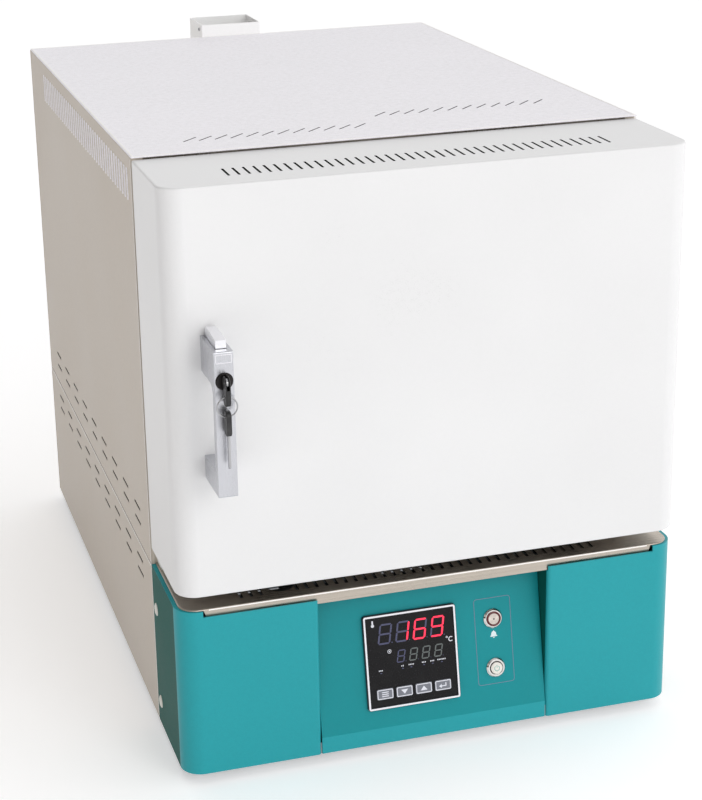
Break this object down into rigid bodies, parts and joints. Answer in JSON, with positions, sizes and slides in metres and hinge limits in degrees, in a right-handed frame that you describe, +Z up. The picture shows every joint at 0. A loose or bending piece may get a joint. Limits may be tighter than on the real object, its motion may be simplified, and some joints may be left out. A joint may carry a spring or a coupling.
{
  "type": "muffle furnace",
  "caption": "Bench muffle furnace: insulated chamber behind a side-hinged slotted door with locking handle, tilted controller panel, vented case and rear exhaust duct.",
  "frame": {"origin": "on the floor under the middle of the base's footprint", "axes": "+Z up, -Y to the front where the door is, +X to the right seen from the front; Y is the long axis and X the short one"},
  "size_m": [0.524, 0.8995, 0.6085],
  "materials": {
    "aluminium": "extruded aluminium",
    "beige": "warm grey powder coat",
    "black_gloss": "tinted display window",
    "black_plastic": "black moulded plastic",
    "brass": "plain brass",
    "ceramic": "fired alumina",
    "ceramic_wool": "ceramic fibre",
    "chrome": "polished plated metal",
    "element": "oxidised resistance alloy",
    "fibre_board": "vacuum-formed fibre board",
    "galv": "zinc-plated sheet",
    "grey_key": "soft-touch key",
    "hearth": "silicon carbide plate",
    "light_grey": "pale grey fine-grained powder coat",
    "rod_alloy": "drawn aluminium flat bar",
    "rubber": "matt moulded rubber",
    "satin_plate": "satin plated die casting",
    "satin_silver": "satin anodised metal",
    "silver_plastic": "silver-painted bezel",
    "stainless": "brushed stainless sheet",
    "steel": "satin steel",
    "teal": "teal powder coat",
    "teal_dark": "darker teal powder coat",
    "white_paint": "white powder coat",
    "white_plastic": "moulded nylon"
  },
  "bodies": {
    "cabinet": {"base_pan": "galv", "feet": "rubber", "front_cover_left": "teal", "front_cover_right": "teal", "side_plugs": "white_plastic", "control_panel": "teal_dark", "drip_tray": "stainless", "lower_side_left": "beige", "lower_side_right": "beige", "upper_side_left": "beige", "upper_side_right": "beige", "lower_rear_panel": "beige", "upper_rear_panel": "beige", "cable_gland": "black_plastic", "top_cover": "light_grey", "deck_plate": "galv", "front_frame": "stainless", "inner_case": "galv", "insulation_boards": "ceramic_wool", "chamber_boards": "fibre_board", "hearth_plate": "hearth", "heating_elements": "element", "element_bushes": "ceramic", "element_clamps": "brass", "thermocouple": "steel", "exhaust_tube": "ceramic", "chimney": "white_paint", "power_relay": "aluminium", "terminal_block": "black_plastic", "rest_pad": "white_plastic", "controller_case": "black_plastic", "controller_bezel": "silver_plastic", "controller_face": "black_gloss", "switch_bodies": "chrome", "hinge_leaves_cabinet": "steel", "hinge_pins": "steel", "keeper": "steel"},
    "door": {"door_shell": "white_paint", "door_baffle": "galv", "door_wool": "ceramic_wool", "door_liner": "stainless", "door_plug": "fibre_board", "door_gasket": "ceramic_wool", "hinge_leaves_door": "steel", "handle_body": "satin_silver", "handle_screws": "steel"},
    "lever": {"thumb_lever": "satin_plate"},
    "latch": {"latch_rod": "rod_alloy"},
    "lock": {"lock_barrel": "chrome", "key_blade": "steel"},
    "bow": {"key_bow": "black_plastic"},
    "ring": {"key_ring": "steel"},
    "spare_key": {"spare_key_head": "black_plastic", "spare_key_blade": "steel"},
    "key_1": {"controller_key_1": "grey_key"},
    "key_2": {"controller_key_2": "grey_key"},
    "key_3": {"controller_key_3": "grey_key"},
    "key_4": {"controller_key_4": "grey_key"},
    "alarm_push": {"alarm_button": "chrome"},
    "power_push": {"power_button": "chrome"}
  },
  "joints": [
    {"name": "door_swing", "type": "hinge", "parent": "cabinet", "child": "door", "pos_m": [0.2613, -0.2615, 0.4], "axis": [0, 0, 1], "range_deg": [0, 120]},
    {"name": "thumb_press", "type": "hinge", "parent": "door", "child": "lever", "pos_m": [-0.214, -0.392, 0.4515], "axis": [1, 0, 0], "range_deg": [0, 8], "stiffness_Nm_per_rad": 0.6, "springref_deg": -4.58},
    {"name": "latch_lift", "type": "slide", "parent": "door", "child": "latch", "axis": [0, 0, 1], "range_m": [0, 0.00251]},
    {"name": "lock_turn", "type": "hinge", "parent": "door", "child": "lock", "pos_m": [-0.214, -0.437, 0.429], "axis": [0, 1, 0], "range_deg": [0, 90]},
    {"name": "bow_fold", "type": "hinge", "parent": "lock", "child": "bow", "pos_m": [-0.214, -0.445, 0.43], "axis": [1, 0, 0], "range_deg": [-90, 0]},
    {"name": "ring_swing", "type": "hinge", "parent": "bow", "child": "ring", "pos_m": [-0.214, -0.445, 0.417], "axis": [1, 0, 0], "range_deg": [-60, 0]},
    {"name": "spare_key_swing", "type": "hinge", "parent": "ring", "child": "spare_key", "pos_m": [-0.214, -0.445, 0.3988], "axis": [1, 0, 0], "range_deg": [-60, 0]},
    {"name": "key_1_press", "type": "slide", "parent": "cabinet", "child": "key_1", "axis": [0, 0.982, -0.1889], "range_m": [0, 0.0005], "stiffness_N_per_m": 400, "springref_m": -0.0002},
    {"name": "key_2_press", "type": "slide", "parent": "cabinet", "child": "key_2", "axis": [0, 0.982, -0.1889], "range_m": [0, 0.0005], "stiffness_N_per_m": 400, "springref_m": -0.0002},
    {"name": "key_3_press", "type": "slide", "parent": "cabinet", "child": "key_3", "axis": [0, 0.982, -0.1889], "range_m": [0, 0.0005], "stiffness_N_per_m": 400, "springref_m": -0.0002},
    {"name": "key_4_press", "type": "slide", "parent": "cabinet", "child": "key_4", "axis": [0, 0.982, -0.1889], "range_m": [0, 0.0005], "stiffness_N_per_m": 400, "springref_m": -0.0002},
    {"name": "alarm_press", "type": "slide", "parent": "cabinet", "child": "alarm_push", "axis": [0, 0.982, -0.1889], "range_m": [0, 0.002], "stiffness_N_per_m": 400, "springref_m": -0.0005},
    {"name": "power_press", "type": "slide", "parent": "cabinet", "child": "power_push", "axis": [0, 0.982, -0.1889], "range_m": [0, 0.002], "stiffness_N_per_m": 400, "springref_m": -0.0005}
  ],
  "couplings": [
    {"joint": "latch_lift", "follows": "thumb_press", "m_per_rad": 0.017942}
  ]
}
